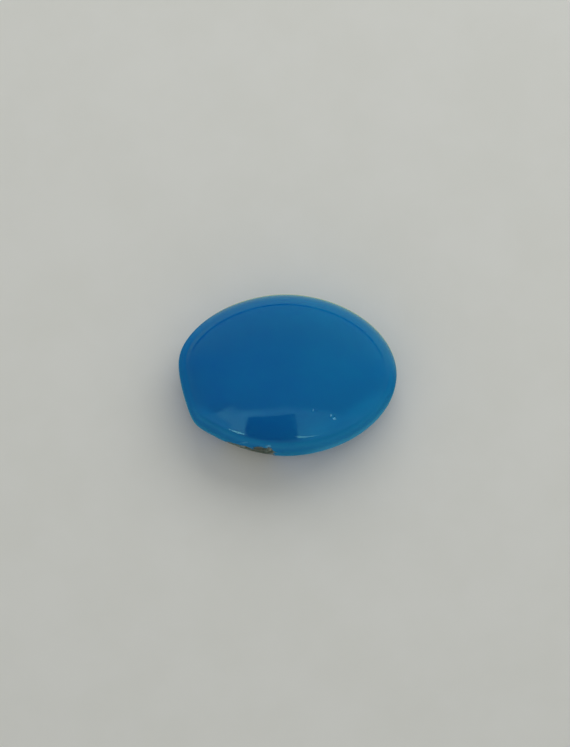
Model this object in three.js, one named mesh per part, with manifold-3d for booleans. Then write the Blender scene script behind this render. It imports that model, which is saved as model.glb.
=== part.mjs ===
// Oval turquoise cabochon: one polished stone with a full dome, a rounded girdle and a flat back.
// Its plan is an oval that hand grinding has left with a flat at one end and a small shoulder beside it,
// and a shallow chip breaks the wall at the front, where host rock shows.
// Millimetres. +Z is up, +X is along the stone, and -Y is the front. The origin is under the middle of
// the stone, on its flat back.

import * as THREE from "three";
import { mergeVertices } from "three/addons/utils/BufferGeometryUtils.js";
import Module from "manifold-3d";

// Driving dimensions of the oval, before its end is ground flat
const HALF_LENGTH = 7.373;
const HALF_WIDTH = 5.352;
const OVAL_POWER = 1.925; // 2 is a true ellipse, and less is leaner between the ends and the sides

// The ground flat: the way it faces, in degrees from +X, and how far it is from the oval's middle
const FLAT = { facing: 192.7, distance: 7.016 };
const FLAT_SHARPNESS = 24; // higher makes a crisper edge where the flat leaves the oval

// The shoulder that stands proud beside the flat: the way it faces and its spread are in degrees
const SHOULDER = { facing: 208.5, proud: 0.181, spread: 8 };

// Section through the stone
const HEIGHT = 4.8;
const GIRDLE_HEIGHT = 1.9; // the widest level, above the flat back
const SECTION_POWER = 3; // 2 is a round section, and more gives a flatter top and steeper walls

// The chip in the front wall: the middle and half sizes of the rounded lump that it lost
const CHIP = { x: -1.4, y: -5.65, z: 1.9, across: 1.15, deep: 0.5, tall: 2.1 };

// Facets
const SAME_POINT = 1e-4; // points nearer than this are joined
const AROUND = 112;
const UP_THE_SECTION = 26;
const CHIP_DETAIL = 3;

const CROWN = HEIGHT - GIRDLE_HEIGHT;
const TURQUOISE = new THREE.MeshStandardMaterial({ color: 0x105a8f, roughness: 0.12, metalness: 0 });

// Distance from the middle of the oval to its edge, at an angle in radians from +X.
function edgeDistance(angle) {
  const along = Math.abs(Math.cos(angle) / HALF_LENGTH) ** OVAL_POWER;
  const across = Math.abs(Math.sin(angle) / HALF_WIDTH) ** OVAL_POWER;
  const towardsFlat = Math.max(Math.cos(angle - THREE.MathUtils.degToRad(FLAT.facing)), 0);
  const oval = (along + across) ** (FLAT_SHARPNESS / OVAL_POWER);
  const nearness = oval + (towardsFlat / FLAT.distance) ** FLAT_SHARPNESS;
  const degrees = THREE.MathUtils.radToDeg(angle) - SHOULDER.facing;
  const offShoulder = (THREE.MathUtils.euclideanModulo(degrees + 180, 360) - 180) / SHOULDER.spread;
  return nearness ** (-1 / FLAT_SHARPNESS) + SHOULDER.proud * Math.exp(-offShoulder * offShoulder);
}

// Section from the middle of the flat back, round the wall and over the dome to the top.
// Across is a share of the edge distance, and up is in millimetres.
function section() {
  const drop = GIRDLE_HEIGHT / CROWN;
  const footAcross = (1 - drop ** SECTION_POWER) ** (1 / SECTION_POWER);
  const footAngle = Math.asin(drop ** (SECTION_POWER / 2));
  const points = [new THREE.Vector2(0, 0), new THREE.Vector2(footAcross, 0)];
  for (let i = 1; i < UP_THE_SECTION; i++) {
    const angle = THREE.MathUtils.lerp(-footAngle, Math.PI / 2, i / UP_THE_SECTION);
    const across = Math.cos(angle) ** (2 / SECTION_POWER);
    const up = Math.sign(angle) * Math.abs(Math.sin(angle)) ** (2 / SECTION_POWER);
    points.push(new THREE.Vector2(across, GIRDLE_HEIGHT + CROWN * up));
  }
  points.push(new THREE.Vector2(0, HEIGHT));
  return points;
}

// The whole stone: the section turned about the upright axis, then drawn out to the oval's edge.
function stoneBlank() {
  const blank = new THREE.LatheGeometry(section(), AROUND).rotateX(Math.PI / 2);
  const places = blank.getAttribute("position");
  for (let i = 0; i < places.count; i++) {
    const edge = edgeDistance(Math.atan2(places.getY(i), places.getX(i)));
    places.setXY(i, places.getX(i) * edge, places.getY(i) * edge);
  }
  return blank;
}

// The lump that the chip lost.
function chipLump() {
  return new THREE.IcosahedronGeometry(1, CHIP_DETAIL)
    .scale(CHIP.across, CHIP.deep, CHIP.tall)
    .translate(CHIP.x, CHIP.y, CHIP.z);
}

// Moves the stone so that its box is centred on the Z axis.
function centred(geometry) {
  geometry.computeBoundingBox();
  const middle = geometry.boundingBox.getCenter(new THREE.Vector3());
  return geometry.translate(-middle.x, -middle.y, 0);
}

const wasm = await Module();
wasm.setup();

// A closed three.js geometry as a manifold solid.
function solidOf(geometry) {
  const bare = geometry.clone().deleteAttribute("normal").deleteAttribute("uv");
  const merged = mergeVertices(bare, SAME_POINT);
  const vertProperties = merged.getAttribute("position").array;
  const triVerts = new Uint32Array(merged.index.array);
  return new wasm.Manifold(new wasm.Mesh({ numProp: 3, vertProperties, triVerts }));
}

// A manifold solid as a three.js geometry.
function geometryOf(solid) {
  const mesh = solid.getMesh();
  const geometry = new THREE.BufferGeometry();
  geometry.setAttribute("position", new THREE.BufferAttribute(mesh.vertProperties, mesh.numProp));
  geometry.setIndex(new THREE.BufferAttribute(mesh.triVerts, 1));
  geometry.computeVertexNormals();
  return geometry;
}

const chipped = solidOf(centred(stoneBlank())).subtract(solidOf(chipLump()));
const stone = new THREE.Mesh(geometryOf(chipped), TURQUOISE);
stone.name = "turquoise_cabochon";

const cabochon = new THREE.Group();
cabochon.add(stone);

export default cabochon;
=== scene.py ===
import math

import bmesh
import bpy
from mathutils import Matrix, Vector


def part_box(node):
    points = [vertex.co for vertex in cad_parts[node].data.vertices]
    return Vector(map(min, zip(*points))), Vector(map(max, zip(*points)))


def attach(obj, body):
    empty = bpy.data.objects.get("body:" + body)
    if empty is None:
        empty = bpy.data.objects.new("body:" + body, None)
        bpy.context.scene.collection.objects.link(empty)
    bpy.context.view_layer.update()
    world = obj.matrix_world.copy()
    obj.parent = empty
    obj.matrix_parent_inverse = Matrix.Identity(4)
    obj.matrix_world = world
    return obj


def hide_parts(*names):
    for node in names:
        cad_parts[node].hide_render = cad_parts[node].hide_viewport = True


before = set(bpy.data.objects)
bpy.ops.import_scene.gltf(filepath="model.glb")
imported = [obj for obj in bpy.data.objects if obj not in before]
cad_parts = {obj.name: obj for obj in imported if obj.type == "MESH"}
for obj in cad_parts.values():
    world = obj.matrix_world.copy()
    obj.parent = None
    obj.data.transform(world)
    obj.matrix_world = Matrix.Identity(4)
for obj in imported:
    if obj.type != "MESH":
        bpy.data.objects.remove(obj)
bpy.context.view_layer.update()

MM = 0.001
STONE_NODE = "turquoise_cabochon"
stone_low, stone_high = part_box(STONE_NODE)

# Plan of the stone: an oval, ground flat at one end, with a shoulder beside the flat
HALF_LENGTH = 7.373 * MM
HALF_WIDTH = (stone_high.y - stone_low.y) / 2
OVAL_POWER = 1.925
FLAT_FACING = math.radians(192.7)
FLAT_DISTANCE = 7.016 * MM
FLAT_SHARPNESS = 24.0
SHOULDER_FACING = math.radians(208.5)
SHOULDER_PROUD = 0.181 * MM
SHOULDER_SPREAD = math.radians(8)

# Section through the stone
GIRDLE_HEIGHT = 1.9 * MM
CROWN = stone_high.z - GIRDLE_HEIGHT
SECTION_POWER = 3.0
FOOT_ROUND = 0.3 * MM
MIDDLE = Vector((stone_high.x - HALF_LENGTH, stone_high.y - HALF_WIDTH, GIRDLE_HEIGHT))

# Hand polish leaves the surface very slightly uneven
RIPPLE_HEIGHT = 0.006 * MM
RIPPLE_SIZE = 3.0 * MM

# Host rock in the front wall: each lobe's middle and half sizes
ROCK_LOBES = (
    (Vector((-2.7, -5.0, 0.6)) * MM, Vector((1.8, 2.0, 1.8)) * MM),
    (Vector((-1.85, -5.1, 1.5)) * MM, Vector((0.5, 2.0, 1.7)) * MM),
    (Vector((-1.5, -5.2, 1.6)) * MM, Vector((0.42, 2.0, 1.65)) * MM),
    (Vector((-1.3, -5.2, 1.5)) * MM, Vector((0.4, 2.0, 1.7)) * MM),
)
ROCK_DEPTH = 0.05 * MM
ROCK_ROUGH_HEIGHT = 0.1 * MM
ROCK_GRAIN = 0.25 * MM
ROCK_EDGE_WANDER = 1.3 * MM
ROCK_EDGE_SIZE = 0.7 * MM
ROCK_BREAK_FADE = (-0.04, 0.1)

# The flat back stays true: unevenness and breaks fade out towards it
BACK_FADE = (0.0, 0.6 * MM)

# Small pits and scuffs in the polish: place, radius, depth, and how pale (painted glint, above 0) or dark
# (painted shade, below 0) each is painted
PITS = (
    (Vector((2.85, -3.23, 4.35)) * MM, 0.14 * MM, 0.04 * MM, 1.0),
    (Vector((3.08, -3.41, 4.24)) * MM, 0.17 * MM, 0.05 * MM, 1.1),
    (Vector((2.91, -3.39, 4.26)) * MM, 0.08 * MM, 0.04 * MM, -0.7),
    (Vector((3.06, -3.24, 4.31)) * MM, 0.07 * MM, 0.03 * MM, -0.6),
    (Vector((1.69, -2.90, 4.57)) * MM, 0.13 * MM, 0.03 * MM, 0.65),
    (Vector((1.93, -2.93, 4.55)) * MM, 0.09 * MM, 0.02 * MM, -0.4),
    (Vector((-2.12, -5.06, 2.84)) * MM, 0.10 * MM, 0.03 * MM, 0.6),
    (Vector((-1.32, -5.08, 3.20)) * MM, 0.3 * MM, 0.02 * MM, 0.5),
    (Vector((-1.18, -5.05, 3.29)) * MM, 0.22 * MM, 0.02 * MM, 0.4),
    (Vector((-3.12, -4.76, 2.88)) * MM, 0.17 * MM, 0.01 * MM, 0.35),
    (Vector((-2.97, -4.77, 3.00)) * MM, 0.18 * MM, 0.01 * MM, 0.4),
    (Vector((-2.82, -4.78, 3.11)) * MM, 0.18 * MM, 0.01 * MM, 0.4),
    (Vector((-2.68, -4.79, 3.22)) * MM, 0.17 * MM, 0.01 * MM, 0.35),
)

# How far each pit's outline strays from a circle
PIT_WANDER = 0.25 * MM
PIT_WANDER_SIZE = 0.15 * MM

# Turquoise, with painted light: a little lighter and greener towards the right end, as if lit from that
# side; and how it shines.
# A fade is the two values between which one look passes into another.
BODY_PAINTED_SHADE_LEFT = (0.0006, 0.131, 0.43, 1)
BODY_PAINTED_LIGHT_RIGHT = (0.001, 0.179, 0.46, 1)
PAINTED_LIGHT_REACH = 6.5 * MM
CLOUD_SIZE = 3.5 * MM
CLOUD_SHARE = 0.2
CLOUD_FADE = (0.3, 0.7)
SHINE_TINT = (0.3, 1.0, 0.85, 1)
REFRACTION = 1.61
POLISHED_ROUGHNESS = 0.07
BROKEN_ROUGHNESS = 0.67
SCATTER_COLOURS = (0.3, 0.7, 1.0)
SCATTER_DISTANCE = 1.5 * MM
SHINE_LEVEL = 0.5

# Host rock, and the painted glints and painted shade in the pits
ROCK_OLIVE = (0.055, 0.06, 0.032, 1)
ROCK_BROWN = (0.11, 0.098, 0.07, 1)
ROCK_PALE = (0.23, 0.27, 0.23, 1)
ROCK_SHINE_LEVEL = 0.1
ROCK_CORE = -1.85 * MM
ROCK_STRAY = 2 * MM
ROCK_PALE_FADE = (0.2 * MM, 1.2 * MM)
ROCK_PALE_SHARES = (0.1, 1.0)
ROCK_BLOTCH_FADE = (0.4, 0.6)
ROCK_GRAIN_FADE = (0.42, 0.62)
ROCK_EDGE_FADE = (-0.08, 0.14)
# Painted glint: pale blue painted into pits where the polish would catch light; painted shade: dark blue
# painted into other pits
PIT_PAINTED_GLINT = (0.2, 0.6, 0.85, 1)
PIT_PAINTED_SHADE = (0.0005, 0.05, 0.17, 1)
PIT_GLINT_FADE = (0.1, 0.9)
PIT_SHADE_FADE = (-0.1, -0.9)

# Mesh: grid lines on the blank, and the places where its faces are split finer
BLANK_CUTS = (145, 105, 57)
FINE_PLACES = (
    (Vector((-1.4, -5.1, 1.2)) * MM, 1.15 * MM),
    (Vector((-1.4, -5.1, 2.6)) * MM, 1.15 * MM),
    (Vector((-2.7, -4.9, 1.2)) * MM, 1.15 * MM),
    (Vector((-2.9, -4.78, 3.05)) * MM, 0.4 * MM),
    (Vector((2.95, -3.35, 4.3)) * MM, 0.5 * MM),
    (Vector((1.70, -2.91, 4.6)) * MM, 0.2 * MM),
    (Vector((1.93, -2.93, 4.6)) * MM, 0.2 * MM),
)
FINE_STEPS = (1.25, 1.0)

# Camera
CAMERA_ELEVATION = math.radians(78)
CAMERA_DISTANCE = 201.8 * MM
CAMERA_TARGET = Vector((-0.175, 0.07, 2.115)) * MM
PHOTO_HEIGHT_PX = 747
FOCAL_LENGTH_PX = 3039
SENSOR_HEIGHT = 24.0
CLIP_START = 1 * MM

# Lights: how bright they are, and their corners' azimuths and elevations in degrees
CARD_DISTANCE = 250 * MM
ROOM_LIGHT = 0.48
KEY_LIGHT = 2.15
KEY_CORNERS = ((110, 20), (110, 50), (30, 50), (30, 20))
FILL_LIGHT = 0.35
FILL_CORNERS = ((-130, 25), (-130, 65), (-30, 65), (-30, 25))
LEFT_STRIP_GLOW = 4.4
LEFT_STRIP_CORNERS = ((-124, 4), (-119, 8.5), (-114, 12), (-114, 6), (-119, 3.5))
RIGHT_STRIP_GLOW = 4.2
RIGHT_STRIP_CORNERS = ((-83.4, 28), (-83.4, 22), (-78, 18.8), (-69.5, 14), (-78, 22.4))
GAP_GLOW = 0.15
GAP_LEFT_EDGE = ((-118, 65), (-122.7, 60.5), (-119.5, 51.4), (-116.2, 39.2), (-113.8, 23), (-112.1, 2))
GAP_RIGHT_EDGE = ((-98.8, 7.1), (-82.9, 18.1), (-82.5, 39.7), (-80.4, 59.1), (-75.8, 75.5))
GAP_TOP_EDGE = ((-90.2, 75.5), (-106.7, 71.5))
WHITE = (1, 1, 1, 1)

# The tent that the stone mirrors. Its fades are shares of a unit direction to the right, far away or up.
TENT_RADIUS = 700 * MM
TENT_DETAIL = 5
TOP_GLOW = 0.3
BEHIND_GLOW = 0.55
BEHIND_FADE = (0.1, 0.6)
LOW_GLOW = 0.1
LOW_UP_FADE = (0.28, 0.24)
LOW_FAR_FADE = (-0.1, 0.3)
SEAM_UP = 0.31
SEAM_DIP = 0.55
SEAM_WIDTH_FADE = (0.055, 0.025)
SEAM_FAR_FADE = (0.3, 0.6)
TOP_COLOUR = (1, 1.35, 1.35, 1)
BEHIND_COLOUR = (0.95, 1.0, 0.36, 1)
BEHIND_COLOUR_FADE = (0.1, 0.5)

# The lit panels in front: their lower edges' slopes and levels, and how they dim from left to right
PANEL_GLOW = 1.1
UNDER_PANEL_GLOW = 0.35
PANEL_COLOUR = (0.95, 1.13, 1.45, 1)
LEFT_PANEL_SLOPE = 0.5
LEFT_PANEL_LEVEL = 0.29
RIGHT_PANEL_SLOPE = -0.7
RIGHT_PANEL_LEVEL = 0.49
PANEL_BLURS = (0.02, 0.25)
PANEL_BLUR_FADE = (-0.38, -0.6)
RIGHT_PANEL_SHARE = 0.62
RIGHT_PANEL_FADE = (-0.32, -0.05)
LEFT_END_SHARE = 0.45
LEFT_END_FADE = (-0.54, -0.47)
RIGHT_END_SHARE = 0.6
RIGHT_END_FADE = (0.15, 0.5)

# The panels' top edge, which drops towards both sides, and their left edge
PANEL_TOP_DROP = 0.75
PANEL_TOP_LEAN = 0.1
LEFT_CORNER_DROP = 0.14
LEFT_CORNER_FADE = (-0.25, -0.5)
RIGHT_CORNER_DROP = 0.08
RIGHT_CORNER_FADE = (0.2, 0.5)
PANEL_TOP_FADE = (-0.05, 0.06)
PANEL_LEFT_FADE = (-0.82, -0.58)

# Blue light at both sides of the front
SKY_COLOUR = (0.05, 0.45, 0.9)
SKY_RIGHT_FADE = (0.05, 0.3)
SKY_RIGHT_UP_FADE = (0.97, 0.6)
SKY_LEFT_FADE = (-0.45, -0.56)
SKY_LEFT_UP_FADE = (0.75, 0.45)
FRONT_FADE = (-0.05, -0.5)

# The paper, and its look in the stone's edges
PAPER_DULL = (0.79, 0.80, 0.745, 1)
PAPER_BRIGHT = (0.81, 0.82, 0.77, 1)
PAPER_HALF = 900 * MM
PAPER_MOTTLE_SIZE = 6 * MM
PAPER_MOTTLE_FADE = (0.3, 0.7)
MIRRORED_BEHIND = (0.5, 0.62, 0.2, 1)
MIRRORED_SIDES = (0.12, 0.46, 0.6, 1)
MIRRORED_OPEN = (0.24, 0.76, 0.9, 1)
MIRRORED_OPEN_RIGHT = (0.22, 0.72, 1.0, 1)
MIRRORED_SHADED = (0.03, 0.2, 0.28, 1)
MIRRORED_SHADED_RIGHT = (0.06, 0.29, 0.4, 1)
MIRRORED_HEIGHT = 0.02 * MM
MIRRORED_BEHIND_LEAN = 0.3
MIRRORED_BEHIND_FADE = (0.2, 0.9)
MIRRORED_RIGHT_FADE = (0.1, 0.5)
MIRRORED_SHADE_FADE = (1.05, 2.3)


class NodeDesk:
    """Adds nodes to one tree. An input is given as a value to set or as the output to link to it."""

    def __init__(self, tree):
        self.tree = tree

    def feed(self, socket, given):
        if isinstance(given, bpy.types.NodeSocket):
            self.tree.links.new(given, socket)
        elif given is not None:
            socket.default_value = given

    def add(self, kind, inputs=None, **settings):
        node = self.tree.nodes.new(kind)
        for name, setting in settings.items():
            setattr(node, name, setting)
        for key, given in (inputs or {}).items():
            self.feed(node.inputs[key], given)
        return node

    def math(self, operation, first, second=None, third=None):
        return self.add("ShaderNodeMath", {0: first, 1: second, 2: third}, operation=operation).outputs[0]

    def vector(self, operation, first, second=None):
        node = self.add("ShaderNodeVectorMath", {0: first, 1: second}, operation=operation)
        return node.outputs["Value" if operation in ("LENGTH", "DISTANCE") else "Vector"]

    def scaled(self, vector, share):
        node = self.add("ShaderNodeVectorMath", {"Vector": vector, "Scale": share}, operation="SCALE")
        return node.outputs["Vector"]

    def split(self, vector):
        return self.add("ShaderNodeSeparateXYZ", {"Vector": vector}).outputs

    def join(self, x, y, z):
        return self.add("ShaderNodeCombineXYZ", {"X": x, "Y": y, "Z": z}).outputs["Vector"]

    def noise(self, place, size, detail=2.0, roughness=0.5):
        inputs = {"Vector": place, "Scale": 1 / size, "Detail": detail, "Roughness": roughness}
        return self.add("ShaderNodeTexNoise", inputs).outputs

    def ramp(self, value, start, end, low=0.0, high=1.0):
        inputs = {"Value": value, "From Min": start, "From Max": end, "To Min": low, "To Max": high}
        return self.add("ShaderNodeMapRange", inputs, interpolation_type="SMOOTHSTEP").outputs["Result"]

    def blend(self, share, first, second):
        node = self.add("ShaderNodeMix", {"Factor": share}, data_type="RGBA")
        self.feed(node.inputs[6], first)
        self.feed(node.inputs[7], second)
        return node.outputs[2]


def new_material(name):
    """An empty material and the desk for its nodes."""
    material = bpy.data.materials.new(name)
    material.use_nodes = True
    material.node_tree.nodes.clear()
    return material, NodeDesk(material.node_tree)


def blank_box():
    """A gridded box around the stone's middle, finer towards the chip and the pits."""
    box = bmesh.new()
    bmesh.ops.create_cube(box, size=2)
    bmesh.ops.scale(box, vec=(HALF_LENGTH, HALF_WIDTH, CROWN), verts=box.verts)
    for axis, cuts in enumerate(BLANK_CUTS):
        along = [edge for edge in box.edges if edge.verts[0].co[axis] * edge.verts[1].co[axis] < 0]
        bmesh.ops.subdivide_edges(box, edges=along, cuts=cuts, use_grid_fill=True)
    for share in FINE_STEPS:
        edges = {edge for face in box.faces if is_fine(face, share) for edge in face.edges}
        bmesh.ops.subdivide_edges(box, edges=list(edges), cuts=1, use_grid_fill=True)
    mesh = bpy.data.meshes.new(STONE_NODE)
    box.to_mesh(mesh)
    box.free()
    return mesh


def is_fine(face, share):
    """Whether the line from the stone's middle through this face passes near a place to be split finer."""
    ray = face.calc_center_median().normalized()
    for place, reach in FINE_PLACES:
        out = place - MIDDLE
        along = out.dot(ray)
        if along > 0 and (out - ray * along).length < reach * share:
            return True
    return False


def stone_tree(material):
    """Geometry Nodes that grind the blank to the stone, then break the chip and the pits into it."""
    tree = bpy.data.node_groups.new("stone", "GeometryNodeTree")
    desk = NodeDesk(tree)
    sizes = {
        "Half Length": HALF_LENGTH,
        "Half Width": HALF_WIDTH,
        "Oval Power": OVAL_POWER,
        "Flat Facing": FLAT_FACING,
        "Flat Distance": FLAT_DISTANCE,
        "Flat Sharpness": FLAT_SHARPNESS,
        "Shoulder Facing": SHOULDER_FACING,
        "Shoulder Proud": SHOULDER_PROUD,
        "Shoulder Spread": SHOULDER_SPREAD,
        "Crown": CROWN,
        "Section Power": SECTION_POWER,
        "Foot Round": FOOT_ROUND,
        "Ripple Height": RIPPLE_HEIGHT,
        "Rock Depth": ROCK_DEPTH,
        "Rock Rough Height": ROCK_ROUGH_HEIGHT,
    }
    tree.interface.new_socket("Geometry", in_out="INPUT", socket_type="NodeSocketGeometry")
    settings = {}
    for name, size in sizes.items():
        socket = tree.interface.new_socket(name, in_out="INPUT", socket_type="NodeSocketFloat")
        settings[socket.identifier] = size
    tree.interface.new_socket("Geometry", in_out="OUTPUT", socket_type="NodeSocketGeometry")
    given = desk.add("NodeGroupInput").outputs

    ground = ground_stone(desk, given)
    polished = polish(desk, given, ground)
    broken = break_chip(desk, given, polished)
    pitted = break_pits(desk, broken)
    smooth = desk.add("GeometryNodeSetShadeSmooth", {"Geometry": pitted}).outputs["Geometry"]
    real = desk.add("GeometryNodeRealizeInstances", {"Geometry": smooth}).outputs["Geometry"]
    finished = desk.add("GeometryNodeSetMaterial", {"Geometry": real, "Material": material})
    desk.add("NodeGroupOutput", {"Geometry": finished.outputs["Geometry"]})
    return tree, settings


def edge_distance(desk, given, out):
    """Distance from the middle of the oval to its edge, in the direction of each point."""
    x, y, _ = desk.split(out)
    away = desk.vector("LENGTH", desk.join(x, y, 0.0))
    across_ratio = desk.math("DIVIDE", given["Half Length"], given["Half Width"])
    cosine = desk.math("DIVIDE", x, away)
    sine = desk.math("DIVIDE", y, away)
    along_term = desk.math("POWER", desk.math("ABSOLUTE", cosine), given["Oval Power"])
    across = desk.math("MULTIPLY", desk.math("ABSOLUTE", sine), across_ratio)
    across_term = desk.math("POWER", across, given["Oval Power"])
    oval_power = desk.math("DIVIDE", given["Flat Sharpness"], given["Oval Power"])
    oval = desk.math("POWER", desk.math("ADD", along_term, across_term), oval_power)

    angle = desk.math("ARCTAN2", y, x)
    off_flat = desk.math("COSINE", desk.math("SUBTRACT", angle, given["Flat Facing"]))
    flat_ratio = desk.math("DIVIDE", given["Half Length"], given["Flat Distance"])
    towards_flat = desk.math("MULTIPLY", desk.math("MAXIMUM", off_flat, 0.0), flat_ratio)
    flat = desk.math("POWER", towards_flat, given["Flat Sharpness"])

    root = desk.math("DIVIDE", -1.0, given["Flat Sharpness"])
    share = desk.math("POWER", desk.math("ADD", oval, flat), root)
    edge = desk.math("MULTIPLY", share, given["Half Length"])

    turn = desk.math("WRAP", desk.math("SUBTRACT", angle, given["Shoulder Facing"]), math.pi, -math.pi)
    steps = desk.math("DIVIDE", turn, given["Shoulder Spread"])
    fall = desk.math("EXPONENT", desk.math("MULTIPLY", desk.math("MULTIPLY", steps, steps), -1.0))
    return desk.math("MULTIPLY_ADD", fall, given["Shoulder Proud"], edge), away


def ground_stone(desk, given):
    """Moves every point of the blank out or in to the ground surface, and flattens the back."""
    out = desk.add("GeometryNodeInputPosition").outputs["Position"]
    edge, away = edge_distance(desk, given, out)
    _, _, up = desk.split(out)
    across_term = desk.math("POWER", desk.math("DIVIDE", away, edge), given["Section Power"])
    rise = desk.math("ABSOLUTE", desk.math("DIVIDE", up, given["Crown"]))
    up_term = desk.math("POWER", rise, given["Section Power"])
    root = desk.math("DIVIDE", -1.0, given["Section Power"])
    stretch = desk.math("POWER", desk.math("ADD", across_term, up_term), root)
    x, y, z = desk.split(desk.vector("ADD", desk.scaled(out, stretch), tuple(MIDDLE)))
    footed = desk.math("SMOOTH_MAX", z, 0.0, given["Foot Round"])
    place = desk.join(x, y, footed)
    blank = given["Geometry"]
    return desk.add("GeometryNodeSetPosition", {"Geometry": blank, "Position": place}).outputs["Geometry"]


def push(desk, geometry, height):
    """Moves the surface along its normal by a height that may vary from point to point."""
    normal = desk.add("GeometryNodeInputNormal").outputs["Normal"]
    offset = desk.scaled(normal, height)
    return desk.add("GeometryNodeSetPosition", {"Geometry": geometry, "Offset": offset}).outputs["Geometry"]


def remember(desk, geometry, name, value):
    """Keeps a value on the points, for the material."""
    inputs = {"Geometry": geometry, "Name": name, "Value": value}
    node = desk.add("GeometryNodeStoreNamedAttribute", inputs, data_type="FLOAT", domain="POINT")
    return node.outputs["Geometry"]


def above_back(desk):
    """0 on the flat back, rising to 1 just above it."""
    place = desk.add("GeometryNodeInputPosition").outputs["Position"]
    return desk.ramp(desk.split(place)[2], *BACK_FADE)


def polish(desk, given, geometry):
    """The slight unevenness of a hand-polished surface, with the back left flat."""
    place = desk.add("GeometryNodeInputPosition").outputs["Position"]
    swell = desk.math("SUBTRACT", desk.noise(place, RIPPLE_SIZE, detail=1.0)[0], 0.5)
    height = desk.math("MULTIPLY", desk.math("MULTIPLY", swell, given["Ripple Height"]), 2.0)
    return push(desk, geometry, desk.math("MULTIPLY", height, above_back(desk)))


def drifted(desk, place, wander, reach):
    """Shifts each place by a coloured noise, whose middle value leaves it where it is."""
    drift = desk.vector("SUBTRACT", wander, (0.5, 0.5, 0.5))
    return desk.vector("ADD", place, desk.scaled(drift, reach))


def break_chip(desk, given, geometry):
    """Breaks the front wall where host rock shows, and keeps how far each point is inside the break."""
    place = desk.add("GeometryNodeInputPosition").outputs["Position"]
    wander = desk.noise(place, ROCK_EDGE_SIZE, detail=5.0, roughness=0.65)[1]
    wandered = drifted(desk, place, wander, ROCK_EDGE_WANDER)
    inside = -1.0
    for middle, half_sizes in ROCK_LOBES:
        out = desk.vector("DIVIDE", desk.vector("SUBTRACT", wandered, tuple(middle)), tuple(half_sizes))
        lobe = desk.math("SUBTRACT", 1.0, desk.vector("LENGTH", out))
        inside = desk.math("MAXIMUM", lobe, inside)
    rock = desk.ramp(inside, *ROCK_BREAK_FADE)
    grain = desk.math("SUBTRACT", desk.noise(place, ROCK_GRAIN, detail=4.0, roughness=0.65)[0], 0.5)
    rough = desk.math("MULTIPLY", grain, given["Rock Rough Height"])
    depth = desk.math("SUBTRACT", rough, given["Rock Depth"])
    height = desk.math("MULTIPLY", desk.math("MULTIPLY", depth, rock), above_back(desk))
    kept = remember(desk, geometry, "rock_inside", inside)
    return push(desk, kept, height)


def break_pits(desk, geometry):
    """Sinks the pits into the polish, and keeps on each point its share of painted glint (above 0) and
    painted shade (below 0).
    """
    place = desk.add("GeometryNodeInputPosition").outputs["Position"]
    here = drifted(desk, place, desk.noise(place, PIT_WANDER_SIZE)[1], PIT_WANDER)
    glint_and_shade = 0.0
    height = 0.0
    # Each pit's last value is its share of painted glint when above 0, of painted shade when below 0
    for middle, radius, depth, pale in PITS:
        away = desk.vector("DISTANCE", here, tuple(middle))
        bowl = desk.ramp(away, radius, 0.0)
        glint_and_shade = desk.math("MULTIPLY_ADD", bowl, pale, glint_and_shade)
        height = desk.math("SUBTRACT", height, desk.math("MULTIPLY", bowl, depth))
    kept = remember(desk, geometry, "pit_glint_and_shade", glint_and_shade)
    return push(desk, kept, height)


def attribute(desk, name):
    """A value that the geometry keeps on its points."""
    return desk.add("ShaderNodeAttribute", attribute_name=name).outputs["Fac"]


def host_rock(desk, place, x):
    """Blotchy brown rock around its core, with pale grains further out."""
    blotches = desk.ramp(desk.noise(place, 2 * ROCK_GRAIN)[0], *ROCK_BLOTCH_FADE)
    grains = desk.ramp(desk.noise(place, ROCK_GRAIN, detail=4.0, roughness=0.65)[0], *ROCK_GRAIN_FADE)
    strayed = desk.math("MULTIPLY_ADD", desk.noise(place, 4 * ROCK_GRAIN, detail=3.0)[0], ROCK_STRAY, x)
    off_core = desk.math("ABSOLUTE", desk.math("SUBTRACT", strayed, ROCK_CORE + ROCK_STRAY / 2))
    pale_share = desk.ramp(off_core, *ROCK_PALE_FADE, *ROCK_PALE_SHARES)
    brown = desk.blend(blotches, ROCK_OLIVE, ROCK_BROWN)
    return desk.blend(desk.math("MULTIPLY", grains, pale_share), brown, ROCK_PALE)


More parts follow.
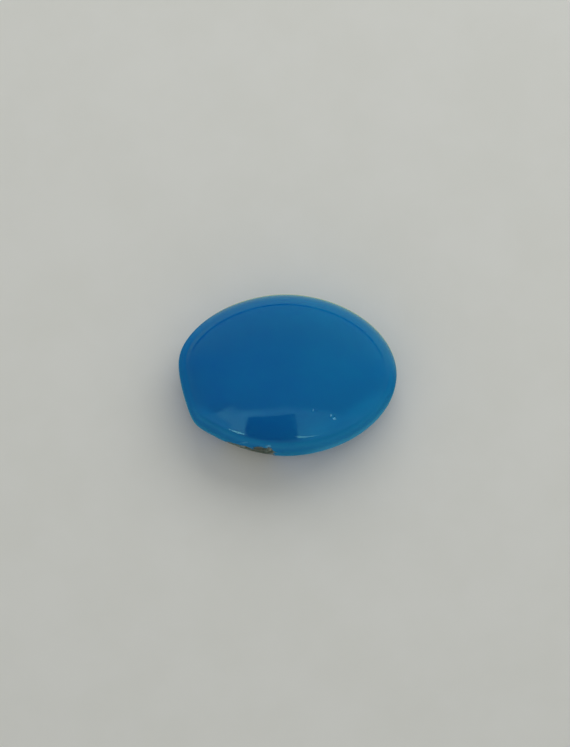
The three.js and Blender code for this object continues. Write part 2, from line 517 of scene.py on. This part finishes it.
def turquoise():
    """Polished turquoise, painted lighter towards the right, with rough host rock in the chip, and painted
    glints and painted shade in the pits.
    """
    material, desk = new_material("polished_turquoise")
    place = desk.add("ShaderNodeTexCoord").outputs["Object"]

    x = desk.split(place)[0]
    cloudy = desk.noise(place, CLOUD_SIZE, detail=4.0, roughness=0.55)[0]
    clouds = desk.ramp(cloudy, *CLOUD_FADE, -CLOUD_SHARE, CLOUD_SHARE)
    # Painted light: the body colour grows lighter and greener towards the right end, as if lit from that
    # side
    along = desk.ramp(x, -PAINTED_LIGHT_REACH, PAINTED_LIGHT_REACH)
    body = desk.blend(desk.math("ADD", along, clouds), BODY_PAINTED_SHADE_LEFT, BODY_PAINTED_LIGHT_RIGHT)

    inside = attribute(desk, "rock_inside")
    rock_share = desk.ramp(inside, *ROCK_EDGE_FADE)
    stone = desk.blend(rock_share, body, host_rock(desk, place, x))

    # Painted glints and painted shade in the pits: pale blue where the polish would catch light, dark blue
    # where it would be shaded
    glint_and_shade = attribute(desk, "pit_glint_and_shade")
    glint_share = desk.ramp(glint_and_shade, *PIT_GLINT_FADE)
    shade_share = desk.ramp(glint_and_shade, *PIT_SHADE_FADE)
    colour = desk.blend(shade_share, desk.blend(glint_share, stone, PIT_PAINTED_GLINT), PIT_PAINTED_SHADE)
    dull = desk.math("MAXIMUM", rock_share, glint_share)
    inputs = {
        "Base Color": colour,
        "Roughness": desk.ramp(dull, 0.0, 1.0, POLISHED_ROUGHNESS, BROKEN_ROUGHNESS),
        "IOR": REFRACTION,
        "Specular IOR Level": desk.ramp(rock_share, 0.0, 1.0, SHINE_LEVEL, ROCK_SHINE_LEVEL),
        "Specular Tint": SHINE_TINT,
        "Subsurface Weight": 1.0,
        "Subsurface Radius": SCATTER_COLOURS,
        "Subsurface Scale": SCATTER_DISTANCE,
    }
    shader = desk.add("ShaderNodeBsdfPrincipled", inputs)
    desk.add("ShaderNodeOutputMaterial", {"Surface": shader.outputs["BSDF"]})
    return material


def make_stone():
    """The stone as one plain mesh."""
    tree, settings = stone_tree(turquoise())
    blank = bpy.data.objects.new(STONE_NODE + "_blank", blank_box())
    bpy.context.scene.collection.objects.link(blank)
    modifier = blank.modifiers.new("stone", "NODES")
    modifier.node_group = tree
    for identifier, size in settings.items():
        modifier[identifier] = size
    evaluated = blank.evaluated_get(bpy.context.evaluated_depsgraph_get())
    mesh = bpy.data.meshes.new_from_object(evaluated)
    mesh.name = "polished_stone"
    bpy.data.objects.remove(blank)
    stone = bpy.data.objects.new("polished_stone", mesh)
    bpy.context.scene.collection.objects.link(stone)
    return stone


def sheet(name, half, height):
    """A level square."""
    corners = [(-half, -half, height), (half, -half, height), (half, half, height), (-half, half, height)]
    mesh = bpy.data.meshes.new(name)
    mesh.from_pydata(corners, [], [(0, 1, 2, 3)])
    return mesh


def make_floor():
    """A sheet of pale matte paper under the stone."""
    material, desk = new_material("pale_paper")
    place = desk.add("ShaderNodeTexCoord").outputs["Object"]
    mottled = desk.noise(place, PAPER_MOTTLE_SIZE, detail=3.0, roughness=0.6)[0]
    mottle = desk.ramp(mottled, *PAPER_MOTTLE_FADE)
    shader = desk.add("ShaderNodeBsdfDiffuse", {"Color": desk.blend(mottle, PAPER_DULL, PAPER_BRIGHT)})
    desk.add("ShaderNodeOutputMaterial", {"Surface": shader.outputs["BSDF"]})
    add_stage("paper", sheet("paper", PAPER_HALF, 0), material)


def add_stage(name, mesh, material):
    """Puts a mesh on the stage around the stone."""
    mesh.materials.append(material)
    stand = bpy.data.objects.new(name, mesh)
    bpy.context.scene.collection.objects.link(stand)
    return stand


def reflected_only(stand):
    """Lets the stone mirror this without its light falling on anything."""
    stand.visible_camera = False
    stand.visible_diffuse = False
    stand.visible_shadow = False
    stand.data.materials[0].cycles.emission_sampling = "NONE"


def seen_at(azimuth, elevation):
    """The point of the lighting shell seen from the stone in this direction, in degrees."""
    level = math.cos(math.radians(elevation))
    direction = Vector((
        math.cos(math.radians(azimuth)) * level,
        math.sin(math.radians(azimuth)) * level,
        math.sin(math.radians(elevation)),
    ))
    return MIDDLE + direction * CARD_DISTANCE


def glowing(desk, colour, strength):
    """Finishes a material as plain light."""
    emission = desk.add("ShaderNodeEmission", {"Color": colour, "Strength": strength})
    desk.add("ShaderNodeOutputMaterial", {"Surface": emission.outputs["Emission"]})


def softbox(name, radiance, corners):
    """A glowing card given by the azimuths and elevations of its corners."""
    material, desk = new_material(name)
    glowing(desk, WHITE, radiance)
    mesh = bpy.data.meshes.new(name)
    mesh.from_pydata([seen_at(*corner) for corner in corners], [], [tuple(range(len(corners)))])
    card = add_stage(name, mesh, material)
    card.visible_camera = False
    return card


def room_glow(desk, far, up):
    """The tent above and behind: brighter behind, with a dark seam low down."""
    behind = desk.ramp(far, *BEHIND_FADE, TOP_GLOW, BEHIND_GLOW)
    low = desk.math("MULTIPLY", desk.ramp(up, *LOW_UP_FADE), desk.ramp(far, *LOW_FAR_FADE))
    off_seam = desk.math("ABSOLUTE", desk.math("SUBTRACT", up, SEAM_UP))
    seam = desk.math("MULTIPLY", desk.ramp(off_seam, *SEAM_WIDTH_FADE), desk.ramp(far, *SEAM_FAR_FADE))
    return desk.math("MULTIPLY_ADD", seam, -SEAM_DIP, desk.math("MULTIPLY_ADD", low, LOW_GLOW, behind))


def panel_glow(desk, right, up):
    """The lit panels in front: brightest on the left, with slanting lower edges."""
    left_edge = desk.math("MULTIPLY_ADD", right, LEFT_PANEL_SLOPE, LEFT_PANEL_LEVEL)
    right_edge = desk.math("MULTIPLY_ADD", right, RIGHT_PANEL_SLOPE, RIGHT_PANEL_LEVEL)
    edge = desk.math("MINIMUM", left_edge, right_edge)
    blur = desk.ramp(right, *PANEL_BLUR_FADE, *PANEL_BLURS)
    above_edge = desk.ramp(desk.math("SUBTRACT", up, edge), desk.math("MULTIPLY", blur, -1.0), blur)
    left_share = desk.ramp(right, *RIGHT_PANEL_FADE, 1.0, RIGHT_PANEL_SHARE)
    left_end = desk.ramp(right, *LEFT_END_FADE, LEFT_END_SHARE, 1.0)
    right_end = desk.ramp(right, *RIGHT_END_FADE, 1.0, RIGHT_END_SHARE)
    share = desk.math("MULTIPLY", left_share, desk.math("MULTIPLY", left_end, right_end))
    panel = desk.math("MULTIPLY", share, PANEL_GLOW)
    above = desk.math("SUBTRACT", panel, UNDER_PANEL_GLOW)
    return desk.math("MULTIPLY_ADD", above_edge, above, UNDER_PANEL_GLOW)


def under_panel_top(desk, right, far, up):
    """1 below the panels' top edge, which drops towards both sides and most at its corners."""
    lean = desk.math("MULTIPLY", up, PANEL_TOP_LEAN)
    sideways = desk.math("MULTIPLY_ADD", desk.math("ABSOLUTE", right), PANEL_TOP_DROP, lean)
    left_corner = desk.ramp(right, *LEFT_CORNER_FADE, 0.0, LEFT_CORNER_DROP)
    right_corner = desk.ramp(right, *RIGHT_CORNER_FADE, 0.0, RIGHT_CORNER_DROP)
    drop = desk.math("ADD", sideways, desk.math("ADD", left_corner, right_corner))
    forward = desk.math("SUBTRACT", desk.math("MULTIPLY", far, -1.0), drop)
    return desk.ramp(forward, *PANEL_TOP_FADE)


def light_tent():
    """The tent that the stone mirrors, with panels in front and a little sky at both sides."""
    material, desk = new_material("light_tent")
    place = desk.add("ShaderNodeTexCoord").outputs["Object"]
    right, far, up = desk.split(desk.vector("NORMALIZE", place))

    under_top = under_panel_top(desk, right, far, up)
    in_front = desk.math("MULTIPLY", under_top, desk.ramp(right, *PANEL_LEFT_FADE))
    sky_right = desk.math("MULTIPLY", desk.ramp(right, *SKY_RIGHT_FADE), desk.ramp(up, *SKY_RIGHT_UP_FADE))
    sky_left = desk.math("MULTIPLY", desk.ramp(right, *SKY_LEFT_FADE), desk.ramp(up, *SKY_LEFT_UP_FADE))
    sky = desk.math("MULTIPLY", desk.math("MAXIMUM", sky_right, sky_left), desk.ramp(far, *FRONT_FADE))

    room = room_glow(desk, far, up)
    panels = desk.math("SUBTRACT", panel_glow(desk, right, up), room)
    glow = desk.math("MULTIPLY_ADD", in_front, panels, room)
    room_colour = desk.blend(desk.ramp(far, *BEHIND_COLOUR_FADE), TOP_COLOUR, BEHIND_COLOUR)
    lit = desk.scaled(desk.blend(in_front, room_colour, PANEL_COLOUR), glow)
    glowing(desk, desk.vector("ADD", lit, desk.scaled(SKY_COLOUR, sky)), 1.0)

    ball = bmesh.new()
    bmesh.ops.create_icosphere(ball, subdivisions=TENT_DETAIL, radius=TENT_RADIUS)
    mesh = bpy.data.meshes.new("light_tent")
    ball.to_mesh(mesh)
    ball.free()
    reflected_only(add_stage("light_tent", mesh, material))


def mirrored_floor():
    """What the stone's edges mirror of the floor: pale behind it, and dim and blue in its shadow."""
    material, desk = new_material("mirrored_floor")
    place = desk.add("ShaderNodeTexCoord").outputs["Object"]
    right, far, _ = desk.split(desk.vector("NORMALIZE", place))
    behind = desk.ramp(desk.math("MULTIPLY_ADD", right, MIRRORED_BEHIND_LEAN, far), *MIRRORED_BEHIND_FADE)
    front = desk.ramp(far, *FRONT_FADE)
    front_right = desk.math("MULTIPLY", front, desk.ramp(right, *MIRRORED_RIGHT_FADE))
    front_floor = desk.blend(front_right, MIRRORED_OPEN, MIRRORED_OPEN_RIGHT)
    open_floor = desk.blend(front, MIRRORED_SIDES, front_floor)
    shaded_floor = desk.blend(front_right, MIRRORED_SHADED, MIRRORED_SHADED_RIGHT)
    away = desk.vector("LENGTH", desk.vector("DIVIDE", place, (HALF_LENGTH, HALF_WIDTH, CROWN)))
    near = desk.blend(desk.ramp(away, *MIRRORED_SHADE_FADE), shaded_floor, open_floor)
    glowing(desk, desk.blend(behind, near, MIRRORED_BEHIND), 1.0)
    floor = sheet("mirrored_floor", CARD_DISTANCE, MIRRORED_HEIGHT)
    reflected_only(add_stage("mirrored_floor", floor, material))


def light_stage():
    """Room light and a key light from behind, and what the stone mirrors."""
    world = bpy.data.worlds.new("room")
    world.use_nodes = True
    world.node_tree.nodes["Background"].inputs["Color"].default_value = WHITE
    world.node_tree.nodes["Background"].inputs["Strength"].default_value = ROOM_LIGHT
    bpy.context.scene.world = world

    for name, radiance, corners in (
        ("key_light", KEY_LIGHT, KEY_CORNERS),
        ("fill_light", FILL_LIGHT, FILL_CORNERS),
    ):
        softbox(name, radiance, corners).visible_glossy = False
    light_tent()
    mirrored_floor()
    for name, radiance, corners in (
        ("gap_between_panels", GAP_GLOW, GAP_LEFT_EDGE + GAP_RIGHT_EDGE + GAP_TOP_EDGE),
        ("left_strip", LEFT_STRIP_GLOW, LEFT_STRIP_CORNERS),
        ("right_strip", RIGHT_STRIP_GLOW, RIGHT_STRIP_CORNERS),
    ):
        reflected_only(softbox(name, radiance, corners))


def place_camera():
    """The camera, above the stone and in front of it, as in the photograph."""
    data = bpy.data.cameras.new("camera")
    data.sensor_fit = "VERTICAL"
    data.sensor_height = SENSOR_HEIGHT
    data.lens = SENSOR_HEIGHT * FOCAL_LENGTH_PX / PHOTO_HEIGHT_PX
    data.clip_start = CLIP_START
    camera = bpy.data.objects.new("camera", data)
    bpy.context.scene.collection.objects.link(camera)
    back = Vector((0, -math.cos(CAMERA_ELEVATION), math.sin(CAMERA_ELEVATION)))
    camera.location = CAMERA_TARGET + back * CAMERA_DISTANCE
    camera.rotation_euler = (math.pi / 2 - CAMERA_ELEVATION, 0, 0)
    bpy.context.scene.camera = camera


place_camera()
make_floor()
light_stage()
stone = make_stone()
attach(stone, "root")
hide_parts(STONE_NODE)

view = bpy.context.scene.view_settings
view.view_transform = "Standard"
